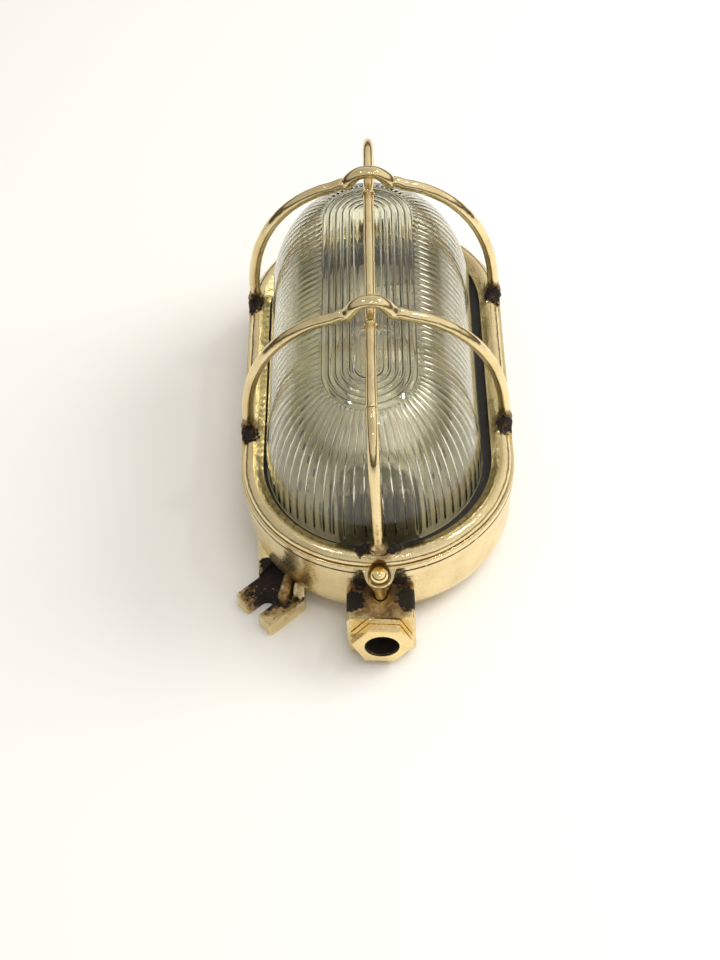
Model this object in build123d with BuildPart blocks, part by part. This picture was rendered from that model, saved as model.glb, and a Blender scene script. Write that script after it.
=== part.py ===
from build123d import *

import math
import os

# Oval brass ship's passageway lantern, lying on its back face. Millimetres.
# Origin at the centre of the flat back, +Z out of the wall towards the guard,
# -Y towards the cable gland and closing screw, +Y towards the cover hinge.
os.makedirs("parts", exist_ok=True)

# ---------------------------------------------------------------- driving dimensions
END_OFFSET = 50.0          # from the middle to the centre of each rounded end
HOUSING_W = 61.3           # half-width of the housing wall
HOUSING_H = 33.0           # back face to parting line
HOUSING_WALL = 3.7
HOUSING_FLOOR = 4.0
HOUSING_ROUND = 16.0       # radius where the wall turns into the back

COVER_W = 62.5             # half-width of the cover's lower band
COVER_Z = 33.8             # underside of the cover
BAND_TOP = 41.3
BEAD_W = 61.2
LIP_W = 52.2               # half-width of the window in the cover
LIP_Z = 42.4
CHANNEL_W = 57.0           # half-width of the seat that takes the glass
CHANNEL_TOP = 40.2

GLASS_W = 49.0             # half-width of the dome at its root
GLASS_ROOT = 39.0
GLASS_TOP = 104.5
GLASS_POWER = 2.45         # squareness of the dome's section
GLASS_T = 4.0
GLASS_SHIFT = -1.2         # the dome sits a little to one side in its seat

ARCH_Y = (-29.5, 56.2)     # the two guard arches
ARCH_W = 59.5
ARCH_Z = (113.3, 114.6)    # rod height at the middle of each arch
SADDLE_TOP = 123.9
BAR_Z = 113.0
ARCH_POWER = 2.28
ARCH_R = 2.7
BAR_R = 2.5
BAR_Y = 104.5
BAR_CORNER = 26.0
FOOT_Z = 45.7

SCREW_Y = -114.8
SCREW_R = 2.9
KNOB_R = 4.2
KNOB_Z = 39.2

GLAND_Z = 14.5
BOSS_FRONT = -128.0
NUT_FRONT = -134.8
NUT_AF = 23.25
GLAND_BORE = 7.7
GLAND_TILT = -7.0

CUP_ROOT_Y = -107.5        # where the screw's cup joins the cover
CUP_BACK_Z = 42.4
CUP_RIM_Z = 38.9

HINGE_Y = 118.4
HINGE_Z = 34.4
HINGE_R = 2.0

TENON_R = 1.8
LUG_T = 8.0
SLOT_W = 8.0
LAMP_Z = 60.0
POST_X = 70.0
POST_Y = 96.0
PLATE_Z = 20.0


def stadium(half_width, mode=Mode.ADD):
    """Outline with straight sides along Y and two round ends."""
    SlotCenterToCenter(2 * END_OFFSET, 2 * half_width, rotation=90, mode=mode)


def stadium_ring(outer, inner):
    """Flat frame between two such outlines."""
    stadium(outer)
    stadium(inner, mode=Mode.SUBTRACT)


def rounded_section(half_width, root, top, power, start, stop, count):
    """Points of one side of a squarish arch, from angle start to stop."""
    points = []
    for step in range(count + 1):
        angle = math.radians(start + (stop - start) * step / count)
        x = half_width * math.cos(angle) ** (2 / power)
        z = root + (top - root) * math.sin(angle) ** (2 / power)
        points.append((x, z))
    return points


def bottom_edges(part, height):
    return part.edges().filter_by(lambda e: abs(e.center().Z - height) < 0.01)


def save(part, name):
    part.label = name
    export_step(part, f"parts/{name}.step")


def save_group(parts, name):
    group = Compound(children=list(parts))
    group.label = name
    export_step(group, f"parts/{name}.step")


# ---------------------------------------------------------------- housing casting
with BuildPart() as cavity:
    with BuildSketch(Plane.XY.offset(HOUSING_FLOOR)):
        stadium(HOUSING_W - HOUSING_WALL)
    extrude(amount=HOUSING_H)
    fillet(bottom_edges(cavity, HOUSING_FLOOR), HOUSING_ROUND - HOUSING_WALL)

LUG_ANGLE = 222.0
lug_axis = (math.cos(math.radians(LUG_ANGLE)), math.sin(math.radians(LUG_ANGLE)))
SLOT_CENTRE = (-52.5, -103.5)
with BuildPart() as lug:
    with BuildSketch():
        with BuildLine():
            Polyline((-56, -62), (-56, -90.5), (-66.5, -99.9), (-50.4, -117.8),
                     (-35, -103.9), (-35, -70), close=True)
        make_face()
        with Locations(SLOT_CENTRE):
            Circle(SLOT_W / 2, mode=Mode.SUBTRACT)
        slot_mid = (SLOT_CENTRE[0] + 10 * lug_axis[0], SLOT_CENTRE[1] + 10 * lug_axis[1])
        with Locations(slot_mid):
            Rectangle(20, SLOT_W, rotation=LUG_ANGLE, mode=Mode.SUBTRACT)
    extrude(amount=LUG_T)
    corners = lug.edges().filter_by(Axis.Z).filter_by(lambda e: e.center().Y < -95)
    fillet(corners.filter_by(lambda e: e.length > 7), 1.2)
    # sloping web that fills the corner between the wall and the lug
    with BuildSketch(Plane.YZ.offset(-56)):
        with BuildLine():
            Polyline((-89.5, 3), (-89.5, 9.5), (-68, 22), (-58, 22), (-58, 3), close=True)
        make_face()
    extrude(amount=12)
    # the web stops at a slanting step, so the lug's top runs on behind it
    with BuildSketch(Plane.XY.offset(LUG_T)):
        with BuildLine():
            Polyline((-57, -91), (-43.5, -79.5), (-43.5, -91), close=True)
        make_face()
    extrude(amount=20, mode=Mode.SUBTRACT)
    # rounded rim down the inner side of the neck, falling away to the lug's corner
    with BuildSketch(Plane.XZ.offset(80)):
        with Locations((-37.4, (LUG_T + 2) / 2 + 0.5)):
            Rectangle(4.8, LUG_T + 1)
        with Locations((-37.4, LUG_T + 2)):
            Circle(2.4)
    extrude(amount=23.6)
    with BuildSketch(Plane.YZ.offset(-41)):
        with BuildLine():
            Polyline((-92, 15), (-103.7, LUG_T), (-105, LUG_T), (-105, 15), close=True)
        make_face()
    extrude(amount=7, mode=Mode.SUBTRACT)
    # finger-like gusset that ends beside the slot
    with BuildSketch(Plane.XY.offset(LUG_T - 1)):
        with Locations((-42.6, -96.5)):
            SlotOverall(20, 4.8, rotation=77)
    extrude(amount=6.5)
    finger_top = lug.faces().sort_by(Axis.Z).filter_by(lambda f: 13.4 < f.center().Z < 13.6)
    fillet(finger_top.edges(), 1.8)

# gland boss with two rough shoulders and a gully for the closing screw
with BuildPart() as boss:
    with Locations((0, -110, 14.25)):
        Box(30, 36, 24.5)
    shoulder = boss.edges().filter_by(Axis.Y)
    fillet(shoulder, 2.0)
    with BuildSketch(Plane.XZ.offset(90)):
        with Locations((0, 33.2)):
            Circle(8.2)
    extrude(amount=37, mode=Mode.SUBTRACT)

with BuildPart() as back_housing:
    with BuildSketch():
        stadium(HOUSING_W)
    extrude(amount=HOUSING_H)
    fillet(bottom_edges(back_housing, 0), HOUSING_ROUND)
    add(lug.part)
    add(lug.part.rotate(Axis.Z, 180))
    add(boss.part)
    # hinge ears
    for side in (-1, 1):
        with BuildSketch(Plane.YZ.offset(side * 8.0 - 2.6)):
            with BuildLine():
                Polyline((HINGE_Y - 9, 14), (HINGE_Y - 9, HOUSING_H), (HINGE_Y, HOUSING_H),
                         (HINGE_Y + 4.4, HINGE_Z), (HINGE_Y + 3.6, 28), close=True)
            make_face()
            with Locations((HINGE_Y, HINGE_Z)):
                Circle(4.4)
        extrude(amount=5.2)
    add(cavity.part, mode=Mode.SUBTRACT)
    # four cast posts that carry the gear plate
    with BuildSketch(Plane.XY.offset(HOUSING_FLOOR - 1)):
        with GridLocations(POST_X, POST_Y, 2, 2):
            Circle(5)
    extrude(amount=PLATE_Z - HOUSING_FLOOR + 1)
    with BuildSketch(Plane.XY.offset(PLATE_Z)):
        with GridLocations(POST_X, POST_Y, 2, 2):
            Circle(1.75)
    extrude(amount=-10, mode=Mode.SUBTRACT)
    # gasket groove in the rim
    with BuildSketch(Plane.XY.offset(HOUSING_H - 1.6)):
        stadium_ring(HOUSING_W - 0.9, HOUSING_W - 2.9)
    extrude(amount=3, mode=Mode.SUBTRACT)
    # gland chamber, cable passage, closing-screw hole, hinge-pin hole
    with BuildSketch(Plane.XZ.offset(-BOSS_FRONT)):
        with Locations((0, GLAND_Z)):
            Circle(9.4)
    extrude(amount=-7, mode=Mode.SUBTRACT)
    with BuildSketch(Plane.XZ.offset(-BOSS_FRONT)):
        with Locations((0, GLAND_Z - 1)):
            Circle(4)
    extrude(amount=-30, mode=Mode.SUBTRACT)
    with Locations((0, SCREW_Y, 24.5)):
        Cylinder(SCREW_R + 0.45, 10, mode=Mode.SUBTRACT)
    with BuildSketch(Plane.YZ.offset(-20)):
        with Locations((HINGE_Y, HINGE_Z)):
            Circle(HINGE_R + 0.02)
    extrude(amount=40, mode=Mode.SUBTRACT)
save(back_housing.part, "back_housing")

with BuildPart() as housing_gasket:
    with BuildSketch(Plane.XY.offset(HOUSING_H - 1.55)):
        stadium_ring(HOUSING_W - 0.95, HOUSING_W - 2.85)
    extrude(amount=1.95)
    fillet(housing_gasket.edges().group_by(Axis.Z)[-1], 0.6)
save(housing_gasket.part, "housing_gasket")

with BuildPart() as hinge_pin:
    with BuildSketch(Plane.YZ.offset(-12.6)):
        with Locations((HINGE_Y, HINGE_Z)):
            Circle(HINGE_R - 0.02)
    extrude(amount=25.2)
    with BuildSketch(Plane.YZ.offset(-12.6)):
        with Locations((HINGE_Y, HINGE_Z)):
            Circle(HINGE_R + 1.2)
    extrude(amount=-1.6)
    with BuildSketch(Plane.YZ.offset(12.6)):
        with Locations((HINGE_Y, HINGE_Z)):
            Circle(HINGE_R + 0.7)
    extrude(amount=1.2)
    fillet(hinge_pin.edges().group_by(Axis.X)[0], 0.8)
    fillet(hinge_pin.edges().group_by(Axis.X)[-1], 0.6)
save(hinge_pin.part, "hinge_pin")

# ---------------------------------------------------------------- cover casting
def bead_half():
    """Rounded upper bead along one straight side and round one end."""
    with BuildPart() as half:
        with BuildSketch(Plane.XZ.offset(-END_OFFSET)) as section:
            with BuildLine():
                Spline((BEAD_W, 42.0), (BEAD_W - 0.6, 43.6), (BEAD_W - 2.8, 45.2), (57.0, 45.4),
                       (54.6, 44.2), (LIP_W, LIP_Z))
                Polyline((LIP_W, LIP_Z), (LIP_W, CHANNEL_TOP), (59.5, CHANNEL_TOP), (59.5, 42.0),
                         (BEAD_W, 42.0))
            make_face()
        extrude(amount=2 * END_OFFSET)
        revolve(section.sketch, axis=Axis((0, END_OFFSET, 0), (0, 0, 1)), revolution_arc=180)
    return half.part


def arch_pad(side, y):
    """Brazing pad under one foot of a guard arch."""
    with BuildPart() as pad:
        with Locations((side * 58.6, y - 3.2, FOOT_Z - 2.4)):
            Box(7.4, 15, 4.8)
        fillet(pad.edges().group_by(Axis.Z)[-1], 1.2)
    return pad.part


def bar_pad(side):
    """Brazing pad under one foot of the long bar."""
    with BuildPart() as pad:
        with BuildSketch(Plane.XY.offset(BAND_TOP)):
            with Locations((0, side * (BAR_Y + 0.6))):
                SlotOverall(18, 9.2)
        extrude(amount=FOOT_Z - BAND_TOP)
        fillet(pad.edges().group_by(Axis.Z)[-1], 1.2)
    return pad.part


def cup_outline(height, round_radius, root_half):
    """Tongue shape: round about the closing screw, broadening into the cover."""
    with BuildSketch(Plane.XY.offset(height)) as outline:
        with BuildLine():
            Line((-root_half, CUP_ROOT_Y), (root_half, CUP_ROOT_Y))
            Line((root_half, CUP_ROOT_Y), (round_radius, SCREW_Y))
            ThreePointArc((round_radius, SCREW_Y), (0, SCREW_Y - round_radius),
                          (-round_radius, SCREW_Y))
            Line((-round_radius, SCREW_Y), (-root_half, CUP_ROOT_Y))
        make_face()
    return outline.sketch


def screw_cup():
    """Cup at the near end that holds the head of the closing screw, its rim rising to the bead."""
    with BuildPart() as cup:
        loft(sections=[cup_outline(COVER_Z, 4.7, 6.5), cup_outline(CUP_BACK_Z, 7.2, 9.4)])
        with BuildSketch(Plane.YZ.offset(-20)):
            with BuildLine():
                Polyline((SCREW_Y - 10, CUP_RIM_Z), (SCREW_Y - 2, CUP_RIM_Z), (CUP_ROOT_Y, CUP_BACK_Z),
                         (CUP_ROOT_Y, 50), (SCREW_Y - 10, 50), close=True)
            make_face()
        extrude(amount=40, mode=Mode.SUBTRACT)
    return cup.part


with BuildPart() as cover_ring:
    with BuildSketch(Plane.XY.offset(COVER_Z)):
        stadium_ring(COVER_W, CHANNEL_W)
    extrude(amount=BAND_TOP - COVER_Z)
    band_rim = cover_ring.edges().group_by(Axis.Z)[-1]
    fillet(band_rim.filter_by(lambda e: max(abs(v.X) for v in e.vertices()) > CHANNEL_W + 1), 0.7)
    with BuildSketch(Plane.XY.offset(CHANNEL_TOP)):
        stadium_ring(BEAD_W - 0.8, LIP_W)
    extrude(amount=42.0 - CHANNEL_TOP)
    bead = bead_half()
    add(bead)
    add(bead.rotate(Axis.Z, 180))
    # brazing pads under the feet of the guard
    for side in (-1, 1):
        add(bar_pad(side))
        for y in ARCH_Y:
            add(arch_pad(side, y))
    add(screw_cup())
    # hinge knuckle
    with BuildSketch(Plane.YZ.offset(-4.9)):
        with BuildLine():
            Polyline((108, COVER_Z), (108, 39.2), (HINGE_Y - 3, 39.2), (HINGE_Y + 3, HINGE_Z + 3),
                     (HINGE_Y, HINGE_Z - 0.6), (HINGE_Y - 4, COVER_Z), close=True)
        make_face()
        with Locations((HINGE_Y, HINGE_Z)):
            Circle(4.3)
    extrude(amount=9.8)
    # openings: glass seat, window, screw, hinge pin, sockets for the guard's tenons
    with BuildSketch(Plane.XY.offset(30)):
        stadium(CHANNEL_W)
    extrude(amount=CHANNEL_TOP - 30, mode=Mode.SUBTRACT)
    with BuildSketch(Plane.XY.offset(30)):
        stadium(LIP_W - 1.8)
    extrude(amount=30, mode=Mode.SUBTRACT)
    with Locations((0, SCREW_Y, 55.1)):
        Cylinder(5.1, 40, mode=Mode.SUBTRACT)
    with Locations((0, SCREW_Y, 35)):
        Cylinder(SCREW_R + 0.15, 10, mode=Mode.SUBTRACT)
    with BuildSketch(Plane.YZ.offset(-20)):
        with Locations((HINGE_Y, HINGE_Z)):
            Circle(HINGE_R + 0.05)
    extrude(amount=40, mode=Mode.SUBTRACT)
    for y in ARCH_Y:
        with Locations((ARCH_W, y, FOOT_Z - 2), (-ARCH_W, y, FOOT_Z - 2)):
            Cylinder(TENON_R, 4, mode=Mode.SUBTRACT)
    with Locations((0, BAR_Y, FOOT_Z - 1.5), (0, -BAR_Y, FOOT_Z - 1.5)):
        Cylinder(TENON_R, 3, mode=Mode.SUBTRACT)
save(cover_ring.part, "cover_ring")

# ---------------------------------------------------------------- glass and its seat
def dome_outline(half_width, root, top, skirt):
    """One side of the dome's section from the skirt up to the crown."""
    return [(half_width, skirt)] + rounded_section(half_width, root, top, GLASS_POWER, 0, 90, 18)


def dome(half_width, root, top, skirt):
    """Solid dome: a straight run closed by a turned half at each end."""
    points = dome_outline(half_width, root, top, skirt)
    with BuildPart() as half:
        with BuildSketch(Plane.XZ.offset(-END_OFFSET)) as section:
            with BuildLine():
                Line(points[0], points[1])
                Spline(*points[1:], tangents=((0, 1), (-1, 0)))
                Polyline(points[-1], (0, skirt), points[0])
            make_face()
        extrude(amount=2 * END_OFFSET)
        revolve(section.sketch, axis=Axis((0, END_OFFSET, 0), (0, 0, 1)), revolution_arc=180)
    with BuildPart() as solid:
        add(half.part)
        add(half.part.rotate(Axis.Z, 180))
    return solid.part


with BuildPart() as glass_dome:
    add(dome(GLASS_W, GLASS_ROOT, GLASS_TOP, 36.2))
    with BuildSketch(Plane.XY.offset(35.9)):
        stadium(GLASS_W + 6.4)
    extrude(amount=2.6)
    add(dome(GLASS_W - GLASS_T, GLASS_ROOT - 1, GLASS_TOP - GLASS_T, 30), mode=Mode.SUBTRACT)
glass = glass_dome.part.moved(Location((GLASS_SHIFT, 0, 0)))
save(glass, "glass_dome")

with BuildPart() as glass_gasket:
    with BuildSketch(Plane.XY.offset(38.6)):
        stadium(56.7)
        with Locations((GLASS_SHIFT, 0)):
            stadium(GLASS_W + 0.4, mode=Mode.SUBTRACT)
    extrude(amount=1.5)
save(glass_gasket.part, "glass_gasket")

with BuildPart() as glass_retaining_ring:
    with BuildLine() as wire_path:
        gap = math.degrees(math.asin(5 / 55.6))
        CenterArc((0, -END_OFFSET, 34.6), 55.6, 270 + gap, 90 - gap)
        Line((55.6, -END_OFFSET, 34.6), (55.6, END_OFFSET, 34.6))
        CenterArc((0, END_OFFSET, 34.6), 55.6, 0, 180)
        Line((-55.6, END_OFFSET, 34.6), (-55.6, -END_OFFSET, 34.6))
        CenterArc((0, -END_OFFSET, 34.6), 55.6, 180, 90 - gap)
    with BuildSketch(Plane(origin=wire_path.wires()[0] @ 0, z_dir=wire_path.wires()[0] % 0)):
        Circle(1.2)
    sweep(path=wire_path.wires()[0])
save(glass_retaining_ring.part, "glass_retaining_ring")

# ---------------------------------------------------------------- guard
def saddle(y, rod_z):
    """Hump in an arch that straddles the long bar."""
    base = rod_z - 1.8
    with BuildPart() as hump:
        with BuildSketch(Plane.XZ.offset(-y)):
            with Locations((0, base)):
                Ellipse(10.8, SADDLE_TOP - base)
                Ellipse(5.4, SADDLE_TOP - base - 5.4, mode=Mode.SUBTRACT)
            with Locations((0, base - 11)):
                Rectangle(40, 20.8, mode=Mode.SUBTRACT)
        extrude(amount=3.1, both=True)
    return hump.part


def guard_arch(y, rod_z, name):
    """Round rod from foot to foot with a cast saddle where it crosses the long bar."""
    section = rounded_section(ARCH_W, FOOT_Z - 2, rod_z, ARCH_POWER, 0, 90, 22)
    section = [p for p in section if p[1] > FOOT_Z + 0.5 and p[0] > 7.5]
    points = [(ARCH_W, y, FOOT_Z)] + [(x, y, z) for x, z in section]
    with BuildPart() as arch:
        with BuildLine() as path:
            Spline(*points, tangents=((0, 0, 1), (-1, 0, 0)))
        with BuildSketch(Plane(origin=path.line @ 0, z_dir=path.line % 0)):
            Circle(ARCH_R)
        sweep(path=path.line)
        with Locations((ARCH_W, y, FOOT_Z - 1.8)):
            Cylinder(TENON_R - 0.02, 3.6)
        with BuildSketch(Plane.XY.offset(FOOT_Z + 0.02)):
            with Locations((ARCH_W - 0.4, y)):
                Circle(ARCH_R + 0.6)
        extrude(amount=2.2, taper=15)
        mirror(about=Plane.YZ)
        add(saddle(y, rod_z))
    save(arch.part, name)


guard_arch(ARCH_Y[0], ARCH_Z[0], "near_guard_arch")
guard_arch(ARCH_Y[1], ARCH_Z[1], "far_guard_arch")

with BuildPart() as long_guard_bar:
    with BuildLine() as path:
        FilletPolyline((0, -BAR_Y, FOOT_Z), (0, -BAR_Y, BAR_Z), (0, BAR_Y, BAR_Z),
                       (0, BAR_Y, FOOT_Z), radius=BAR_CORNER)
    bar_path = path.wires()[0]
    with BuildSketch(Plane(origin=bar_path @ 0, z_dir=bar_path % 0)):
        Circle(BAR_R)
    sweep(path=bar_path)
    for y in (-BAR_Y, BAR_Y):
        with Locations((0, y, FOOT_Z - 1.3)):
            Cylinder(TENON_R - 0.02, 2.6)
        with BuildSketch(Plane.XY.offset(FOOT_Z + 0.02)):
            with Locations((0, y)):
                Circle(BAR_R + 1.0)
        extrude(amount=2.6, taper=14)
    for y in ARCH_Y:
        with BuildSketch(Plane.XZ.offset(-(y - 6.4))):
            with Locations((0, BAR_Z)):
                Circle(BAR_R + 0.55)
        extrude(amount=2.0)
save(long_guard_bar.part, "long_guard_bar")

# ---------------------------------------------------------------- closing screw
with BuildPart() as closing_screw:
    with Locations((0, SCREW_Y, KNOB_Z)):
        Sphere(KNOB_R)
    with Locations((0, SCREW_Y, 30.1)):
        Box(20, 20, 12, mode=Mode.SUBTRACT)
    with BuildSketch(Plane.XY.offset(19.8)):
        with Locations((0, SCREW_Y)):
            Circle(SCREW_R)
    extrude(amount=18)
    chamfer(closing_screw.edges().group_by(Axis.Z)[0], 0.7)
    with Locations(Location((0, SCREW_Y, KNOB_Z + KNOB_R), (0, 0, 6))):
        Box(12, 1.3, 3, mode=Mode.SUBTRACT)
save(closing_screw.part, "closing_screw")

with BuildPart() as closing_screw_washer:
    with Locations((0, SCREW_Y, 35.6)):
        Cylinder(4.8, 0.9)
        Cylinder(SCREW_R + 0.1, 2, mode=Mode.SUBTRACT)
save(closing_screw_washer.part, "closing_screw_washer")

# ---------------------------------------------------------------- cable gland
def hexagon_prism(across_flats, front, back):
    """Hexagon about the gland's axis between two Y stations."""
    with BuildPart() as prism:
        with BuildSketch(Plane.XZ.offset(-back)):
            with Locations((0, GLAND_Z)):
                RegularPolygon(across_flats / 2, 6, major_radius=False, rotation=GLAND_TILT)
        extrude(amount=back - front)
    return prism.part


def gland_disc(radius, front, back):
    """Round disc about the gland's axis between two Y stations."""
    with BuildPart() as disc:
        with BuildSketch(Plane.XZ.offset(-back)):
            with Locations((0, GLAND_Z)):
                Circle(radius)
        extrude(amount=back - front)
    return disc.part


with BuildPart() as gland_nut:
    add(hexagon_prism(NUT_AF, NUT_FRONT, NUT_FRONT + 3.6))
    chamfer(gland_nut.edges().group_by(Axis.Y)[0], 0.4)
    add(hexagon_prism(NUT_AF - 1.2, NUT_FRONT + 3.4, NUT_FRONT + 4.2))
    add(hexagon_prism(NUT_AF + 0.6, NUT_FRONT + 4.0, BOSS_FRONT - 0.35))
    add(gland_disc(9.33, BOSS_FRONT - 1, BOSS_FRONT + 3.4))
    add(gland_disc(GLAND_BORE, NUT_FRONT - 1, BOSS_FRONT + 5), mode=Mode.SUBTRACT)
save(gland_nut.part, "gland_nut")

with BuildPart() as gland_washer:
    add(gland_disc(9.2, BOSS_FRONT + 3.6, BOSS_FRONT + 4.4))
    add(gland_disc(6.0, BOSS_FRONT + 3, BOSS_FRONT + 5), mode=Mode.SUBTRACT)
save(gland_washer.part, "gland_washer")

with BuildPart() as gland_seal:
    add(gland_disc(9.3, BOSS_FRONT + 4.75, BOSS_FRONT + 6.95))
    add(gland_disc(4.2, BOSS_FRONT + 4, BOSS_FRONT + 8), mode=Mode.SUBTRACT)
save(gland_seal.part, "gland_seal")

# ---------------------------------------------------------------- gear plate
PLATE_TOP = PLATE_Z + 1.2
TERMINAL_Y = 62.0
BRACKET_Y = -82.0
with BuildPart() as gear_plate:
    with BuildSketch(Plane.XY.offset(PLATE_Z)):
        stadium(51)
        with GridLocations(POST_X, POST_Y, 2, 2):
            Circle(2.1, mode=Mode.SUBTRACT)
        with Locations((-12, -71), (12, -71), (-22, TERMINAL_Y), (22, TERMINAL_Y), (20, 82)):
            Circle(1.7, mode=Mode.SUBTRACT)
        with Locations((0, -96)):
            SlotOverall(26, 8, mode=Mode.SUBTRACT)
    extrude(amount=PLATE_TOP - PLATE_Z)
save(gear_plate.part, "gear_plate")


def pan_screw(x, y, z, head_r, shank_r, length):
    """Slotted pan-head screw standing on a surface at height z."""
    with BuildPart() as screw:
        with Locations((x, y, z + head_r * 0.3)):
            Cylinder(head_r, head_r * 0.6)
        fillet(screw.edges().group_by(Axis.Z)[-1], head_r * 0.3)
        with Locations((x, y, z + head_r * 0.6)):
            Box(head_r * 3, head_r * 0.28, head_r * 0.5, mode=Mode.SUBTRACT)
        with Locations((x, y, z - length / 2)):
            Cylinder(shank_r, length)
    return screw.part


save_group([pan_screw(sx * POST_X / 2, sy * POST_Y / 2, PLATE_TOP + 0.02, 3.6, 1.7, 9)
            for sx in (-1, 1) for sy in (-1, 1)], "gear_plate_screws")

with BuildPart() as lamp_bracket:
    with BuildSketch(Plane.XZ.offset(-BRACKET_Y)):
        with Locations((0, (PLATE_TOP + LAMP_Z) / 2)):
            Rectangle(34, LAMP_Z - PLATE_TOP)
        with Locations((0, LAMP_Z)):
            Circle(17)
        with Locations((-11, LAMP_Z), (11, LAMP_Z)):
            Circle(1.7, mode=Mode.SUBTRACT)
        with Locations((0, LAMP_Z)):
            Circle(5, mode=Mode.SUBTRACT)
    extrude(amount=2)
    with BuildSketch(Plane.XY.offset(PLATE_TOP)):
        with Locations((0, BRACKET_Y + 8)):
            Rectangle(34, 20)
        with Locations((-12, -71), (12, -71)):
            Circle(1.7, mode=Mode.SUBTRACT)
    extrude(amount=2)
    fold = lamp_bracket.edges().filter_by(Axis.X).filter_by(
        lambda e: abs(e.center().Z - PLATE_TOP - 2) < 0.01 and abs(e.center().Y - BRACKET_Y) < 0.01)
    fillet(fold, 2)
save(lamp_bracket.part, "lamp_bracket")
save_group([pan_screw(x, -71, PLATE_TOP + 2.02, 3.2, 1.6, 6) for x in (-12, 12)],
           "bracket_screws")

# ---------------------------------------------------------------- lamp holder
def turned(points):
    """Solid of revolution about the lamp's axis from (y, radius) points."""
    with BuildPart() as solid:
        with BuildSketch(Plane.YZ):
            with BuildLine():
                Polyline(*[(y, LAMP_Z + r) for y, r in points], close=True)
            make_face()
        revolve(axis=Axis((0, 0, LAMP_Z), (0, 1, 0)))
    return solid.part


HOLDER_Y = BRACKET_Y + 0.02
with BuildPart() as holder_body:
    add(turned([(HOLDER_Y, 0), (HOLDER_Y, 16.4), (HOLDER_Y + 4, 16.4), (HOLDER_Y + 5, 18.6),
                (HOLDER_Y + 34, 18.6), (HOLDER_Y + 37, 17.2), (HOLDER_Y + 37, 14.6),
                (HOLDER_Y + 11, 14.6), (HOLDER_Y + 11, 0)]))
    with Locations(Location((0, HOLDER_Y, LAMP_Z), (90, 0, 0))):
        with Locations((-11, 0), (11, 0)):
            Cylinder(1.6, 14, mode=Mode.SUBTRACT)
save(holder_body.part, "holder_body")

save(turned([(HOLDER_Y + 11.1, 14.5), (HOLDER_Y + 36, 14.5), (HOLDER_Y + 36, 13.3),
             (HOLDER_Y + 12, 13.3), (HOLDER_Y + 12, 9), (HOLDER_Y + 11.1, 9)]), "holder_shell")

with BuildPart() as holder_contact:
    with Locations((0, HOLDER_Y + 11.4, LAMP_Z)):
        Box(6, 0.6, 14)
    with Locations((0, HOLDER_Y + 12.0, LAMP_Z)):
        Box(5, 0.7, 5)
save(holder_contact.part, "holder_contact")


def holder_screw(x):
    with BuildPart() as screw:
        with BuildSketch(Plane.XZ.offset(-BRACKET_Y + 2.02)):
            with Locations((x, LAMP_Z)):
                Circle(3.0)
        extrude(amount=1.8)
        fillet(screw.edges().group_by(Axis.Y)[0], 0.8)
        with BuildSketch(Plane.XZ.offset(-BRACKET_Y + 2.02)):
            with Locations((x, LAMP_Z)):
                Circle(1.55)
        extrude(amount=-8)
        with Locations((x, BRACKET_Y - 3.9, LAMP_Z)):
            Box(7, 1.6, 0.9, mode=Mode.SUBTRACT)
    return screw.part


save_group([holder_screw(-11), holder_screw(11)], "holder_screws")

# ---------------------------------------------------------------- lamp
CAP_BASE = HOLDER_Y + 14.0
cap_section = [(CAP_BASE, 9.5), (CAP_BASE + 1.5, 12.4)]
for turn in range(5):
    start = CAP_BASE + 2.0 + 3.6 * turn
    cap_section += [(start + 0.9, 13.2), (start + 1.8, 13.2), (start + 2.7, 12.3)]
cap_section += [(CAP_BASE + 24.5, 12.9), (CAP_BASE + 24.5, 12.4), (CAP_BASE + 2.0, 11.6),
                (CAP_BASE + 0.5, 9.2)]
save(turned(cap_section), "bulb_cap")
save(turned([(CAP_BASE - 0.8, 3.4), (CAP_BASE - 0.8, 4.2), (CAP_BASE, 9.1), (CAP_BASE + 0.5, 9.1),
             (CAP_BASE + 2.0, 11.4), (CAP_BASE + 3.0, 11.4), (CAP_BASE + 3.0, 3.4)]),
     "bulb_insulator")
save(turned([(CAP_BASE - 1.2, 0), (CAP_BASE - 1.2, 2.6), (CAP_BASE - 0.6, 3.3),
             (CAP_BASE + 1, 3.3), (CAP_BASE + 1, 0)]), "bulb_contact")

BULB_R = 22.5
BULB_Y = CAP_BASE + 51.0
with BuildPart() as bulb_envelope:
    with BuildSketch(Plane.YZ):
        with BuildLine():
            Line((CAP_BASE + 6, LAMP_Z + 11.3), (CAP_BASE + 24.6, LAMP_Z + 12.2))
            Spline((CAP_BASE + 24.6, LAMP_Z + 12.2), (CAP_BASE + 31, LAMP_Z + 14.2),
                   (BULB_Y - BULB_R * 0.6, LAMP_Z + BULB_R * 0.8),
                   (BULB_Y, LAMP_Z + BULB_R), tangents=((1, 0.06), (1, 0)))
            RadiusArc((BULB_Y, LAMP_Z + BULB_R), (BULB_Y + BULB_R, LAMP_Z), BULB_R)
            Line((BULB_Y + BULB_R, LAMP_Z), (BULB_Y + BULB_R - 0.8, LAMP_Z))
            RadiusArc((BULB_Y + BULB_R - 0.8, LAMP_Z), (BULB_Y, LAMP_Z + BULB_R - 0.8),
                      -(BULB_R - 0.8))
            Spline((BULB_Y, LAMP_Z + BULB_R - 0.8),
                   (BULB_Y - BULB_R * 0.58, LAMP_Z + BULB_R * 0.8 - 0.75),
                   (CAP_BASE + 31.2, LAMP_Z + 13.4), (CAP_BASE + 24.6, LAMP_Z + 11.4),
                   tangents=((-1, 0), (-1, -0.06)))
            Polyline((CAP_BASE + 24.6, LAMP_Z + 11.4), (CAP_BASE + 6, LAMP_Z + 10.5),
                     (CAP_BASE + 6, LAMP_Z + 11.3))
        make_face()
    revolve(axis=Axis((0, 0, LAMP_Z), (0, 1, 0)))
save(bulb_envelope.part, "bulb_envelope")

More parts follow.
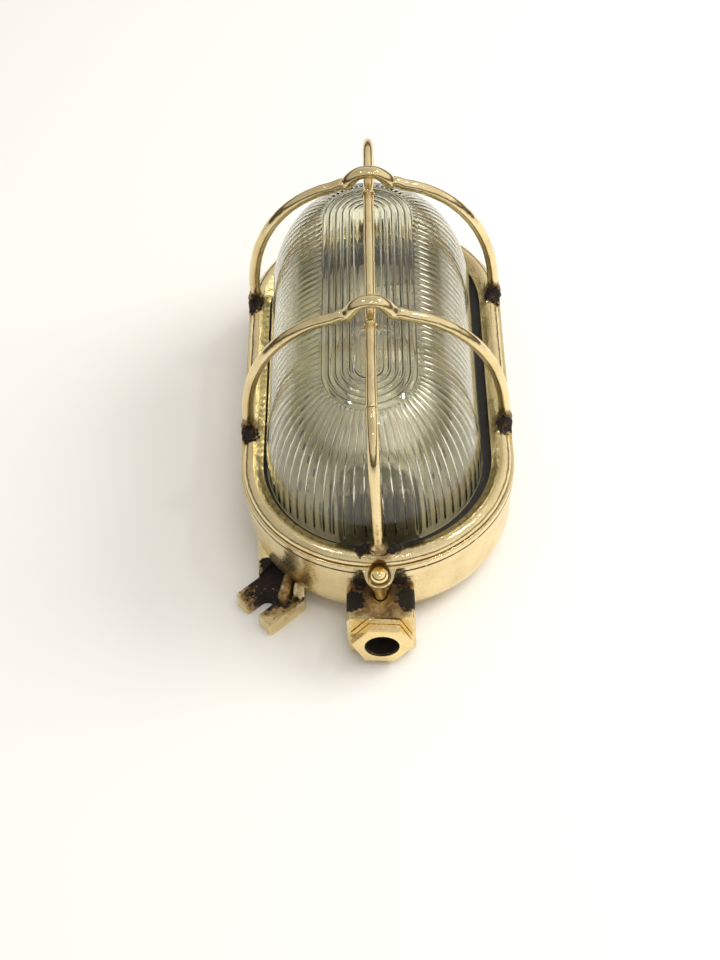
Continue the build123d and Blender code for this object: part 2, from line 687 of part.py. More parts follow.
save(turned([(CAP_BASE + 6, 8.6), (CAP_BASE + 6, 9.6), (CAP_BASE + 12, 5.0),
             (CAP_BASE + 28, 3.2), (CAP_BASE + 36, 1.6), (CAP_BASE + 37, 0), (CAP_BASE + 34, 0),
             (CAP_BASE + 26, 1.8), (CAP_BASE + 11, 3.6)]), "bulb_stem")


def bend_radii(points):
    """Largest tangent arc at each corner that its two runs leave room for."""
    places = [Vector(*p) for p in points]
    radii = []
    for before, here, after in zip(places, places[1:], places[2:]):
        turn = math.radians((here - before).get_angle(after - here))
        shorter = min((here - before).length, (after - here).length)
        radii.append(0.45 * shorter / math.tan(turn / 2))
    return radii


def strand(points, radius):
    """Round wire along straight runs joined by tangent arcs."""
    with BuildPart() as wire:
        with BuildLine() as path:
            FilletPolyline(*points, radius=bend_radii(points))
        line = path.wires()[0]
        with BuildSketch(Plane(origin=line @ 0, z_dir=line % 0)):
            Circle(radius)
        sweep(path=line)
    return wire.part


filament_y = CAP_BASE + 50
lead = [strand([(s * 1.2, CAP_BASE + 37.5, LAMP_Z), (s * 4, CAP_BASE + 43, LAMP_Z),
                (s * 9, filament_y - 0.8, LAMP_Z)], 0.35) for s in (-1, 1)]
coil = strand([(-9, filament_y, LAMP_Z), (-4, filament_y + 2.6, LAMP_Z + 1),
               (0, filament_y + 3.4, LAMP_Z), (4, filament_y + 2.6, LAMP_Z + 1),
               (9, filament_y, LAMP_Z)], 0.45)
save_group(lead + [coil], "bulb_filament")

# ---------------------------------------------------------------- terminals and wires
BLOCK_Z = PLATE_TOP + 0.02
WAYS = (-11.0, 0.0, 11.0)
with BuildPart() as terminal_block:
    with Locations((0, TERMINAL_Y, BLOCK_Z + 2)):
        Box(52, 12, 4)
    with Locations((0, TERMINAL_Y, BLOCK_Z + 7)):
        Box(34, 14, 14)
    with Locations((-22, TERMINAL_Y, BLOCK_Z + 2), (22, TERMINAL_Y, BLOCK_Z + 2)):
        Cylinder(1.7, 6, mode=Mode.SUBTRACT)
    for x in WAYS:
        with BuildSketch(Plane.XZ.offset(-TERMINAL_Y + 20)):
            with Locations((x, BLOCK_Z + 7)):
                Circle(2.9)
        extrude(amount=-40, mode=Mode.SUBTRACT)
        with Locations((x, TERMINAL_Y - 4, BLOCK_Z + 12), (x, TERMINAL_Y + 4, BLOCK_Z + 12)):
            Cylinder(1.9, 8, mode=Mode.SUBTRACT)
save(terminal_block.part, "terminal_block")


def terminal_tube(x):
    with BuildPart() as tube:
        with BuildSketch(Plane.XZ.offset(-TERMINAL_Y + 6.6)):
            with Locations((x, BLOCK_Z + 7)):
                Circle(2.85)
                Circle(1.7, mode=Mode.SUBTRACT)
        extrude(amount=-13.2)
    return tube.part


save_group([terminal_tube(x) for x in WAYS], "terminal_tubes")
save_group([pan_screw(x, TERMINAL_Y + dy, BLOCK_Z + 11.4, 1.8, 1.2, 1.4)
            for x in WAYS for dy in (-4, 4)], "terminal_screws")
save_group([pan_screw(x, TERMINAL_Y, BLOCK_Z + 4.02, 3.0, 1.6, 7) for x in (-22, 22)],
           "terminal_fixing_screws")

TUBE_Z = BLOCK_Z + 7
WIRE_R = 1.2
for side, name in ((1, "live_wire"), (-1, "neutral_wire")):
    save(strand([(side * 11, TERMINAL_Y - 3, TUBE_Z), (side * 11, TERMINAL_Y - 8, TUBE_Z),
                 (side * 15, 34, 24.0), (side * 17, 0, 23.4), (side * 16, -32, 23.6),
                 (side * 11, -56, 28.5), (side * 9, -62, 34), (side * 8, -64, 42.2)], WIRE_R), name)
save(strand([(0, TERMINAL_Y + 3, TUBE_Z), (0, TERMINAL_Y + 8, TUBE_Z),
             (5, TERMINAL_Y + 17, 25.5), (13.2, 81.8, 23.2)], WIRE_R), "earth_wire")

save(pan_screw(20, 82, PLATE_TOP + 1.62, 3.4, 1.6, 6), "earth_screw")
with BuildPart() as earth_washer:
    with Locations((20, 82, PLATE_TOP + 0.82)):
        Cylinder(5.4, 1.56)
        Cylinder(1.8, 4, mode=Mode.SUBTRACT)
save(earth_washer.part, "earth_washer")
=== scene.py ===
"""Looks of the oval brass passageway lantern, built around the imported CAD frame.

Metres, in the frame's own axes: +Z out of the wall, -Y towards the gland and closing screw.
"""

import math

import bmesh
import bpy
from mathutils import Matrix, Vector, noise


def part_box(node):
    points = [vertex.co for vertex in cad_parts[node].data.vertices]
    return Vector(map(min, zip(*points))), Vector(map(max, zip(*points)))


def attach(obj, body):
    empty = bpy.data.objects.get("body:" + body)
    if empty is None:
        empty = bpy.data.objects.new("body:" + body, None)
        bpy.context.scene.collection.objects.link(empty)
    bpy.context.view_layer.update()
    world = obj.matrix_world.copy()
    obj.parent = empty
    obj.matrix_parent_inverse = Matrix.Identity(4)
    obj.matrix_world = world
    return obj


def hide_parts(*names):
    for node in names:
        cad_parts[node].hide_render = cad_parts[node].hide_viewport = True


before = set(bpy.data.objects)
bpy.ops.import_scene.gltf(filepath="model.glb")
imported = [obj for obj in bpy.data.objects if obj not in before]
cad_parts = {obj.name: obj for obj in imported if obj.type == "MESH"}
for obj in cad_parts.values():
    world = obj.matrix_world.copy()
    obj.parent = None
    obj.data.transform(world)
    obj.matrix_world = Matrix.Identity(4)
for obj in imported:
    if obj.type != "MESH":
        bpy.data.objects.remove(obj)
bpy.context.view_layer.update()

MM = 0.001


# ---------------------------------------------------------------- camera
CAMERA_PLACE = Vector((13.8, -506.7, 578.3)) * MM
CAMERA_YAW = math.radians(-2.8)       # to the left of +Y
CAMERA_PITCH = math.radians(50.35)    # downwards
CAMERA_ROLL = math.radians(-4.12)
CAMERA_LENS = 57.745                  # on a 36 mm long side


def make_camera():
    forward = Vector((math.sin(CAMERA_YAW) * math.cos(CAMERA_PITCH),
                      math.cos(CAMERA_YAW) * math.cos(CAMERA_PITCH),
                      -math.sin(CAMERA_PITCH)))
    level = Vector((math.cos(CAMERA_YAW), -math.sin(CAMERA_YAW), 0))
    upright = level.cross(forward)
    right = math.cos(CAMERA_ROLL) * level + math.sin(CAMERA_ROLL) * upright
    up = math.cos(CAMERA_ROLL) * upright - math.sin(CAMERA_ROLL) * level
    lens = bpy.data.cameras.new("camera")
    lens.sensor_fit = "VERTICAL"
    lens.sensor_height = 36
    lens.lens = CAMERA_LENS
    lens.clip_start = 0.01
    camera = bpy.data.objects.new("camera", lens)
    turn = Matrix((right, up, -forward)).transposed()
    camera.matrix_world = Matrix.Translation(CAMERA_PLACE) @ turn.to_4x4()
    bpy.context.scene.collection.objects.link(camera)
    bpy.context.scene.camera = camera


make_camera()


# ---------------------------------------------------------------- shader graphs
class Graph:
    """A material and the few node moves that all of them are made from."""

    def __init__(self, name):
        self.material = bpy.data.materials.new(name)
        self.material.use_nodes = True
        self.nodes = self.material.node_tree.nodes
        self.links = self.material.node_tree.links
        self.shader = self.nodes["Principled BSDF"]
        self.place = self.nodes.new("ShaderNodeTexCoord").outputs["Object"]

    def put(self, socket, value):
        """Links a socket or sets a plain value."""
        if isinstance(value, bpy.types.NodeSocket):
            self.links.new(value, socket)
        elif isinstance(value, tuple) and len(value) == 3 and socket.type == "RGBA":
            socket.default_value = (*value, 1)
        else:
            socket.default_value = value

    def set(self, **inputs):
        """Shader inputs by name, with _ for a space."""
        for key, value in inputs.items():
            self.put(self.shader.inputs[key.replace("_", " ")], value)
        return self

    def calc(self, operation, *values):
        step = self.nodes.new("ShaderNodeMath")
        step.operation = operation
        for socket, value in zip(step.inputs, values):
            self.put(socket, value)
        return step.outputs[0]

    def mix(self, factor, first, second, blend="MIX"):
        step = self.nodes.new("ShaderNodeMix")
        step.data_type = "RGBA"
        step.blend_type = blend
        self.put(step.inputs["Factor"], factor)
        self.put(step.inputs["A"], first)
        self.put(step.inputs["B"], second)
        return step.outputs["Result"]

    def span(self, value, low, high, to_low=0.0, to_high=1.0):
        """Smooth ramp of value from low to high."""
        step = self.nodes.new("ShaderNodeMapRange")
        step.interpolation_type = "SMOOTHSTEP"
        for index, item in enumerate((value, low, high, to_low, to_high)):
            self.put(step.inputs[index], item)
        return step.outputs[0]

    def stretched(self, scale):
        step = self.nodes.new("ShaderNodeMapping")
        self.put(step.inputs["Vector"], self.place)
        self.put(step.inputs["Scale"], scale)
        return step.outputs[0]

    def noise(self, size_mm, detail=3, rough=0.55, stretch=(1, 1, 1), distortion=0.0):
        """Cloudy value with features about size_mm across."""
        step = self.nodes.new("ShaderNodeTexNoise")
        self.put(step.inputs["Vector"], self.stretched(stretch))
        self.put(step.inputs["Scale"], 1000 / size_mm)
        self.put(step.inputs["Detail"], detail)
        self.put(step.inputs["Roughness"], rough)
        self.put(step.inputs["Distortion"], distortion)
        return step.outputs["Fac"]

    def axis(self, letter):
        step = self.nodes.new("ShaderNodeSeparateXYZ")
        self.put(step.inputs[0], self.place)
        return step.outputs[letter]

    def near(self, point, radius, soft):
        """1 within radius of a point, 0 beyond radius + soft."""
        step = self.nodes.new("ShaderNodeVectorMath")
        step.operation = "DISTANCE"
        self.put(step.inputs[0], self.place)
        self.put(step.inputs[1], tuple(point))
        return self.span(step.outputs["Value"], radius, radius + soft, 1.0, 0.0)

    def band(self, letter, low, high, soft):
        """1 between two heights along an axis."""
        height = self.axis(letter)
        rise = self.span(height, low - soft, low)
        fall = self.span(height, high, high + soft, 1.0, 0.0)
        return self.calc("MULTIPLY", rise, fall)

    def most(self, *values):
        total = values[0]
        for value in values[1:]:
            total = self.calc("MAXIMUM", total, value)
        return total

    def bump(self, height, distance_mm, strength=1.0, onto=None):
        step = self.nodes.new("ShaderNodeBump")
        self.put(step.inputs["Height"], height)
        self.put(step.inputs["Distance"], distance_mm * MM)
        self.put(step.inputs["Strength"], strength)
        if onto:
            self.put(step.inputs["Normal"], onto)
        return step.outputs["Normal"]


BRASS_LIGHT = (0.88, 0.735, 0.43)
BRASS_DEEP = (0.71, 0.54, 0.265)
BRASS_BROWN = (0.30, 0.19, 0.085)
# black of the casting skin, also used as painted shade in grooves, hollows and the gland's bore
SKIN_AND_SHADE_DARK = (0.030, 0.023, 0.018)
GOLD_LIGHT = (0.95, 0.78, 0.42)
GOLD_DEEP = (0.86, 0.62, 0.25)


def brass(name, polish=0.14, wave=0.25, tarnish_and_shade=None, deep=0.5, skin_and_shade=None, skin_size=1.7,
          tones=(BRASS_LIGHT, BRASS_DEEP)):
    """Polished brass, with two optional functions of the graph that return masks: the first
    paints brown tarnish and painted shade, the second the black rough casting skin and painted shade."""
    g = Graph(name)
    cloud = g.noise(14, 4, 0.6)
    fine = g.noise(2.2, 5, 0.65)
    scratch = g.noise(1.2, 3, 0.7, (1, 9, 1))
    colour = g.mix(g.span(cloud, 0.35, 0.75, 0.0, deep), *tones)
    brown = g.span(g.calc("MULTIPLY", fine, cloud), 0.30, 0.46, 0.0, 0.10)
    # brown tarnish, plus painted shade where the mask function puts it
    if tarnish_and_shade:
        ragged = g.calc("ADD", g.noise(4.5, 5, 0.7), 0.06)
        brown = g.most(brown, g.span(g.calc("MULTIPLY", tarnish_and_shade(g), ragged), 0.30, 0.62))
    colour = g.mix(brown, colour, BRASS_BROWN)
    rough = g.calc("ADD", g.span(scratch, 0.35, 0.75, polish - 0.05, polish + 0.10),
                   g.calc("MULTIPLY", brown, 0.25))
    metal = 1.0
    hills = g.bump(g.noise(9, 2, 0.4), wave * 1.6)
    hills = g.bump(fine, wave * 0.12, 0.6, hills)
    hills = g.bump(scratch, 0.012, 0.5, hills)
    if skin_and_shade:
        # black casting skin, plus painted shade where the mask function puts it
        black = g.span(g.calc("ADD", skin_and_shade(g), g.span(fine, 0.3, 0.7, -0.42, 0.42)), 0.38, 0.66)
        colour = g.mix(black, colour, SKIN_AND_SHADE_DARK)
        rough = g.calc("MAXIMUM", rough, g.calc("MULTIPLY", black, 0.62))
        metal = g.span(black, 0.0, 1.0, 1.0, 0.35)
        lumps = g.calc("MULTIPLY", g.noise(skin_size, 6, 0.7), black)
        hills = g.bump(lumps, 1.7, 1.0, hills)
    g.set(Base_Color=colour, Metallic=metal, Roughness=rough, Normal=hills)
    return g.material


def middle(node):
    low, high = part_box(node)
    return (low + high) / 2


arch_nodes = ("near_guard_arch", "far_guard_arch")
bar_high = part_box("long_guard_bar")[1]
FOOT_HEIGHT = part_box("cover_ring")[1].z
arch_feet = []
for arch in arch_nodes:
    arch_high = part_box(arch)[1]
    foot_reach = arch_high.x - 3.1 * MM
    arch_feet += [Vector((side * foot_reach, middle(arch).y, FOOT_HEIGHT)) for side in (-1, 1)]
bar_reach = bar_high.y - 3.5 * MM
bar_feet = [Vector((0, side * bar_reach, FOOT_HEIGHT)) for side in (-1, 1)]
cover_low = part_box("cover_ring")[0]
housing_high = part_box("back_housing")[1]

# places on the far lug, whose twin is point-symmetric about the middle
LUG_TOP_SPOT = (50 * MM, 98 * MM, 8 * MM)
FORK_SPOT = (48 * MM, 93 * MM, 8 * MM)
VALLEY_SPOT = (47 * MM, 86 * MM, 9 * MM)
SLOT_SPOT = (51 * MM, 102.2 * MM, 5 * MM)
# skin on the gland boss: sideways, behind the nut's middle, height, radius and fade, in mm
SHOULDER_SPOTS = ((13.0, 11.5, 28, 3.6, 5), (9.0, 18.5, 30, 1.8, 4))


def both_lugs(g, spot, radius, soft):
    """1 round the same place on each of the two lugs."""
    return g.most(*[g.near((side * spot[0], side * spot[1], spot[2]), radius, soft)
                    for side in (-1, 1)])


def foot_grime(g):
    """Burnt flux and soot round every brazed foot."""
    spots = [g.near(foot + Vector((0, -2.5 * MM, 0)), 2.5 * MM, 9 * MM) for foot in arch_feet]
    spots += [g.near(foot, 3.5 * MM, 9 * MM) for foot in bar_feet]
    return g.most(*spots)


def foot_skin_and_groove_shade(g):
    spots = [g.near(foot + Vector((0, -6.5 * MM, -0.5 * MM)), 2.2 * MM, 5 * MM) for foot in arch_feet]
    spots += [g.near(foot + Vector((shift * MM, 0, -1 * MM)), 2.0 * MM, 4 * MM)
              for foot in bar_feet for shift in (-7, 7)]
    # painted shade: the groove round the cover ring is painted dark where it shades itself
    groove = g.band("Z", cover_low.z + 7.4 * MM, cover_low.z + 8.25 * MM, 0.15 * MM)
    return g.most(g.calc("MULTIPLY", groove, 0.8), *spots)


def housing_skin_and_shade(g):
    """Black casting skin on the boss's shoulders, in the fork of each lug and along the rim,
    and painted shade, partly on unpolished metal, in the hollow where each lug meets the wall.
    """
    gland_y = middle("gland_nut").y
    shoulders = [g.near((side * across * MM, gland_y + behind * MM, height * MM), radius * MM,
                        fade * MM)
                 for across, behind, height, radius, fade in SHOULDER_SPOTS for side in (-1, 1)]
    forks = both_lugs(g, FORK_SPOT, 8 * MM, 13 * MM)
    lug_top = g.calc("MULTIPLY", g.band("Z", 7.85 * MM, 8.5 * MM, 0.4 * MM),
                     g.calc("MULTIPLY_ADD", forks, 0.80, 0.06))
    # painted shade, partly on unpolished metal, in the hollow where each lug meets the wall
    valley = g.calc("MULTIPLY", g.band("Z", 8.2 * MM, 12.5 * MM, 1.5 * MM),
                    both_lugs(g, VALLEY_SPOT, 6 * MM, 5 * MM))
    slots = both_lugs(g, SLOT_SPOT, 4.5 * MM, 5 * MM)
    rim = g.calc("MULTIPLY", g.band("Z", housing_high.z - 1.3 * MM, housing_high.z, 0.7 * MM),
                 0.9)
    return g.most(lug_top, valley, rim, slots, *shoulders)


def housing_tarnish_and_shade(g):
    # painted shade: the wall is browner towards its bottom, near the table; the lugs and boss get
    # brown tarnish
    wall = g.calc("MULTIPLY", g.band("Z", 0.0, 9 * MM, 6 * MM), 0.35)
    lugs = both_lugs(g, LUG_TOP_SPOT, 12 * MM, 9 * MM)
    boss = g.near((0, middle("gland_nut").y + 14 * MM, 27 * MM), 13 * MM, 9 * MM)
    return g.most(wall, g.calc("MULTIPLY", g.most(lugs, boss), 0.95))


def nut_back_shade(g):
    """Painted shade: a dark bore behind the nut's bright mouth."""
    low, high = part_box("gland_nut")
    centre = (low + high) / 2
    inner = g.near((centre.x, high.y - 1 * MM, centre.z), 10.2 * MM, 1.2 * MM)
    return g.calc("MULTIPLY", inner, 1.3)


def bore_shade(g):
    # painted shade: black on the wall of the bore from just inside the mouth
    low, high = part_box("gland_nut")
    centre = (low + high) / 2
    step = g.nodes.new("ShaderNodeVectorMath")
    step.operation = "SUBTRACT"
    g.put(step.inputs[0], g.place)
    g.put(step.inputs[1], (centre.x, centre.y, centre.z))
    flat = g.nodes.new("ShaderNodeVectorMath")
    flat.operation = "MULTIPLY"
    g.put(flat.inputs[0], step.outputs[0])
    g.put(flat.inputs[1], (1.0, 0.0, 1.0))
    length = g.nodes.new("ShaderNodeVectorMath")
    length.operation = "LENGTH"
    g.put(length.inputs[0], flat.outputs[0])
    radius = g.span(length.outputs["Value"], 7.75 * MM, 7.95 * MM, 1.0, 0.0)
    return g.calc("MULTIPLY", radius, g.span(g.axis("Y"), low.y + 0.4 * MM, low.y + 2.0 * MM))


def painted(name, colour, second, rough=0.55, size_mm=6, metal=0.0):
    """Paint, moulding or plating with dust, fine grain and uneven gloss."""
    g = Graph(name)
    cloud = g.noise(size_mm, 5, 0.6)
    grain = g.noise(0.5, 4, 0.6)
    g.set(Base_Color=g.mix(g.span(cloud, 0.35, 0.7), colour, second), Metallic=metal,
          Roughness=g.span(grain, 0.3, 0.7, rough - 0.1, rough + 0.12),
          Normal=g.bump(grain, 0.05, 0.6))
    return g.material


def rubber(name):
    g = Graph(name)
    dust = g.noise(3, 6, 0.7)
    g.set(Base_Color=g.mix(g.span(dust, 0.45, 0.75, 0, 0.5), (0.012, 0.011, 0.010),
                           (0.09, 0.08, 0.065)),
          Roughness=g.span(dust, 0.3, 0.7, 0.5, 0.8), Normal=g.bump(g.noise(0.6), 0.08))
    return g.material


def pressed_glass(name, tint, wave):
    """Clear glass with the slow ripple that pressing leaves in its skin."""
    g = Graph(name)
    ripple = g.noise(22, 2, 0.4)
    smear = g.noise(9, 5, 0.6)
    g.set(Base_Color=g.mix(g.span(smear, 0.4, 0.7, 0, 0.4), tint, (0.96, 0.97, 0.94)),
          Roughness=g.span(smear, 0.45, 0.75, 0.0, 0.015), Normal=g.bump(ripple, wave))
    g.set(Transmission_Weight=1.0, IOR=1.5)
    return g.material


def sleeve(name, colour):
    g = Graph(name)
    weave = g.noise(0.7, 3, 0.5, (1, 1, 1))
    g.set(Base_Color=g.mix(g.span(weave, 0.3, 0.8, 0, 0.6), colour, (0.10, 0.08, 0.06)),
          Roughness=0.6, Normal=g.bump(weave, 0.15))
    return g.material


DULL = dict(polish=0.34, wave=0.12, deep=0.9)
looks = {
    "cover_ring": brass("cover_brass", 0.21, 0.34, foot_grime, 0.5, foot_skin_and_groove_shade),
    "back_housing": brass("housing_brass", 0.25, 0.40, housing_tarnish_and_shade, 0.6, housing_skin_and_shade),
    "near_guard_arch": brass("arch_brass", 0.17, 0.26, foot_grime, 0.6, foot_skin_and_groove_shade),
    "closing_screw": brass("screw_brass", 0.10, 0.06, None, 0.5, tones=(GOLD_LIGHT, GOLD_DEEP)),
    "closing_screw_washer": brass("washer_brass", **DULL),
    "gland_nut": brass("nut_brass", 0.24, 0.06, nut_back_shade, 0.7, bore_shade,
                       tones=(GOLD_LIGHT, GOLD_DEEP)),
    "hinge_pin": brass("pin_brass", 0.16, 0.06, None, 0.4),
    "dull": brass("inner_brass", **DULL),
    "rubber": rubber("gasket_rubber"),
    "gear_plate": painted("plate_enamel", (0.80, 0.74, 0.55), (0.66, 0.58, 0.39), 0.5, 30),
    "zinc": painted("zinc_plate", (0.52, 0.50, 0.44), (0.36, 0.34, 0.29), 0.38, 4, 0.9),
    "moulding": painted("black_moulding", (0.03, 0.027, 0.025), (0.07, 0.06, 0.05), 0.35, 8),
    "cream": painted("cream_moulding", (0.74, 0.70, 0.60), (0.56, 0.50, 0.39), 0.4, 9),
    "cap": painted("cap_metal", (0.70, 0.69, 0.66), (0.55, 0.53, 0.50), 0.30, 3, 1.0),
    "tungsten": painted("tungsten_wire", (0.25, 0.25, 0.26), (0.12, 0.12, 0.13), 0.4, 1, 0.9),
    "bulb_glass": pressed_glass("bulb_glass", (0.98, 0.98, 0.98), 0.1),
    "brown": sleeve("brown_sleeve", (0.16, 0.06, 0.025)),
    "blue": sleeve("blue_sleeve", (0.04, 0.10, 0.32)),
    "green": sleeve("green_sleeve", (0.10, 0.30, 0.06)),
}
shared = {
    "far_guard_arch": "near_guard_arch", "long_guard_bar": "near_guard_arch",
    "housing_gasket": "rubber", "glass_gasket": "rubber", "gland_seal": "rubber",
    "glass_retaining_ring": "dull", "gland_washer": "dull", "holder_shell": "dull",
    "holder_contact": "dull", "terminal_tubes": "dull", "earth_washer": "dull",
    "earth_screw": "hinge_pin", "gear_plate_screws": "zinc", "bracket_screws": "zinc",
    "lamp_bracket": "zinc", "holder_screws": "zinc", "terminal_screws": "zinc",
    "terminal_fixing_screws": "zinc", "holder_body": "cream", "bulb_insulator": "moulding",
    "bulb_cap": "cap", "bulb_contact": "cap", "bulb_envelope": "bulb_glass",
    "bulb_stem": "bulb_glass", "bulb_filament": "tungsten", "terminal_block": "cream",
    "live_wire": "brown", "neutral_wire": "blue", "earth_wire": "green",
}
for name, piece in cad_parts.items():
    look = looks.get(shared.get(name, name))
    if look:
        piece.data.materials.clear()
        piece.data.materials.append(look)


# ---------------------------------------------------------------- ribbed glass
FLUTE_START = 20.6 * MM        # half-width of the outermost ridge of the crown
FLUTE_PITCH = 3.0 * MM
FLUTES = 5
RIB_PITCH = 3.7 * MM           # ribs down the straight sides
RIBS_PER_END = 30
RIB_HEIGHT = 0.8 * MM
RIDGE_SHARE = 0.30              # half the ridge's width, as a share of the pitch
STEPS_PER_RIB = 10
DOME_POWER = 2.45
DOME_ROOT = 39.0 * MM
GLASS_THICK = 4.0 * MM
GLASS_WIDTH = 49.0 * MM


def smooth(value, low, high):
    t = min(1, max(0, (value - low) / (high - low)))
    return t * t * (3 - 2 * t)


def flute(phase):
    """Narrow rounded ridge at each whole number, with flat land between."""
    away = abs(phase - round(phase))
    return (0.5 + 0.5 * math.cos(math.pi * away / RIDGE_SHARE)) if away < RIDGE_SHARE else 0.0


def even_section(width, root, top, start, stop, count):
    """count + 1 places (reach, height) evenly spaced along the section from one reach to another."""
    fine = 4000
    path = []
    for step in range(fine + 1):
        angle = math.pi / 2 * step / fine
        path.append((width * math.cos(angle) ** (2 / DOME_POWER),
                     root + (top - root) * math.sin(angle) ** (2 / DOME_POWER)))
    path = [p for p in path if stop - 1e-9 <= p[0] <= start + 1e-9]
    lengths = [0]
    for before, after in zip(path, path[1:]):
        lengths.append(lengths[-1] + math.dist(before, after))
    section = []
    index = 0
    for step in range(count + 1):
        want = lengths[-1] * step / count
        while index < len(path) - 1 and lengths[index] < want:
            index += 1
        section.append(path[index])
    return section


def glass_columns(spine):
    """(anchor, outward direction, rib phase, on a straight side) once round the dome."""
    ribs = round(2 * spine / RIB_PITCH)
    columns = []
    for side in (1, -1):
        for step in range(ribs * STEPS_PER_RIB):
            share = step / (ribs * STEPS_PER_RIB)
            columns.append((Vector((0, side * spine * (2 * share - 1), 0)),
                            Vector((side, 0, 0)), share * ribs, 1.0))
        for step in range(RIBS_PER_END * STEPS_PER_RIB):
            angle = math.pi * step / (RIBS_PER_END * STEPS_PER_RIB)
            columns.append((Vector((0, side * spine, 0)),
                            Vector((side * math.cos(angle), side * math.sin(angle), 0)),
                            step / STEPS_PER_RIB, 0.0))
    return columns


def glass_sections(top, base, flange):
    """Outer and inner runs of the dome's section; the inner one carries the ribs."""
    outer = even_section(GLASS_WIDTH, DOME_ROOT, top, GLASS_WIDTH, 0, 44)
    outer = [(flange, base), (flange, base + 1.3 * MM), (flange, base + 2.6 * MM),
             (GLASS_WIDTH + 1.2 * MM, base + 2.6 * MM), (GLASS_WIDTH + 0.2 * MM, base + 3.0 * MM)
             ] + outer
    width = GLASS_WIDTH - GLASS_THICK
    crown = top - GLASS_THICK
    inner = even_section(width, DOME_ROOT - 1 * MM, crown, width, FLUTE_START, 48)
    inner += even_section(width, DOME_ROOT - 1 * MM, crown, FLUTE_START,
                          FLUTE_START - FLUTES * FLUTE_PITCH, FLUTES * STEPS_PER_RIB)[1:]
    inner += even_section(width, DOME_ROOT - 1 * MM, crown,
                          FLUTE_START - FLUTES * FLUTE_PITCH, 0, 5)[1:]
    return outer, [(width, base)] + inner


def rib_depth(reach, height, phase, straight):
    if reach <= FLUTE_START:
        crown_phase = (FLUTE_START - reach) / FLUTE_PITCH
        return flute(crown_phase) * RIB_HEIGHT * 0.7 if crown_phase < FLUTES + 0.4 else 0.0
    start = smooth(reach, FLUTE_START + 0.3 * MM, FLUTE_START + 2.0 * MM)
    low = 44 * MM if straight < 0.5 else 66 * MM
    fade = smooth(height, 39 * MM, low)
    return flute(phase) * RIB_HEIGHT * start * (0.25 * straight + (1 - 0.25 * straight) * fade)


def ribbed_glass():
    low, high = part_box("glass_dome")
    centre = Vector(((low.x + high.x) / 2, 0, 0))
    flange = (high.x - low.x) / 2
    spine = high.y - flange
    outer, inner = glass_sections(high.z, low.z, flange)
    columns = glass_columns(spine)
    rows = []
    for reach, height in outer:
        rows.append([centre + anchor + way * reach + Vector((0, 0, height))
                     for anchor, way, phase, straight in columns])
    rows.reverse()
    for index, (reach, height) in enumerate(inner):
        ahead = inner[min(index + 1, len(inner) - 1)]
        behind = inner[max(index - 1, 0)]
        along = Vector((ahead[0] - behind[0], ahead[1] - behind[1])).normalized()
        row = []
        for anchor, way, phase, straight in columns:
            depth = rib_depth(reach, height, phase, straight) if index > 1 else 0.0
            inwards = way * -along.y + Vector((0, 0, along.x))
            row.append(centre + anchor + way * reach + Vector((0, 0, height)) + inwards * depth)
        rows.append(row)
    count = len(columns)
    vertices = [point for row in rows for point in row]
    faces = []
    for row in range(len(rows) - 1):
        for column in range(count):
            after = (column + 1) % count
            faces.append((row * count + column, row * count + after,
                          (row + 1) * count + after, (row + 1) * count + column))
    mesh = bpy.data.meshes.new("ribbed_glass_dome")
    mesh.from_pydata(vertices, [], faces)
    work = bmesh.new()
    work.from_mesh(mesh)
    bmesh.ops.remove_doubles(work, verts=work.verts, dist=0.00001)
    bmesh.ops.recalc_face_normals(work, faces=work.faces)
    work.to_mesh(mesh)
    work.free()
    mesh.shade_smooth()
    piece = bpy.data.objects.new("ribbed_glass_dome", mesh)
    bpy.context.scene.collection.objects.link(piece)
    mesh.materials.append(pressed_glass("dome_glass", (0.95, 0.95, 0.83), 0.12))
    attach(piece, "cover")
    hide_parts("glass_dome")


ribbed_glass()


# ---------------------------------------------------------------- guard rods
ARCH_ROD = 2.7 * MM
BAR_ROD = 2.5 * MM
ARCH_POWER = 2.28
RING_POINTS = 24
SADDLE_RISE = {"near_guard_arch": 10.6 * MM, "far_guard_arch": 9.3 * MM}


def curve_through(points, per_span):
    """Catmull-Rom run through tuples of equal length."""
    ends = [tuple(2 * a - b for a, b in zip(points[0], points[1])), *points,
            tuple(2 * a - b for a, b in zip(points[-1], points[-2]))]
    run = []
    for p0, p1, p2, p3 in zip(ends, ends[1:], ends[2:], ends[3:]):
        for step in range(per_span):
            t = step / per_span
            run.append(tuple(0.5 * (2 * b + (c - a) * t + (2 * a - 5 * b + 4 * c - d) * t * t
                                    + (3 * b - a - 3 * c + d) * t ** 3)
                             for a, b, c, d in zip(p0, p1, p2, p3)))
    run.append(tuple(points[-1]))
    return run


def add_piece(name, vertices, faces, look, body, replaced=()):
    mesh = bpy.data.meshes.new(name)
    mesh.from_pydata(vertices, [], faces)
    work = bmesh.new()
    work.from_mesh(mesh)
    bmesh.ops.recalc_face_normals(work, faces=work.faces)
    work.to_mesh(mesh)
    work.free()
    mesh.shade_smooth()
    mesh.materials.append(look)
    piece = bpy.data.objects.new(name, mesh)
    bpy.context.scene.collection.objects.link(piece)
    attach(piece, body)
    if replaced:
        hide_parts(*replaced)
    return piece


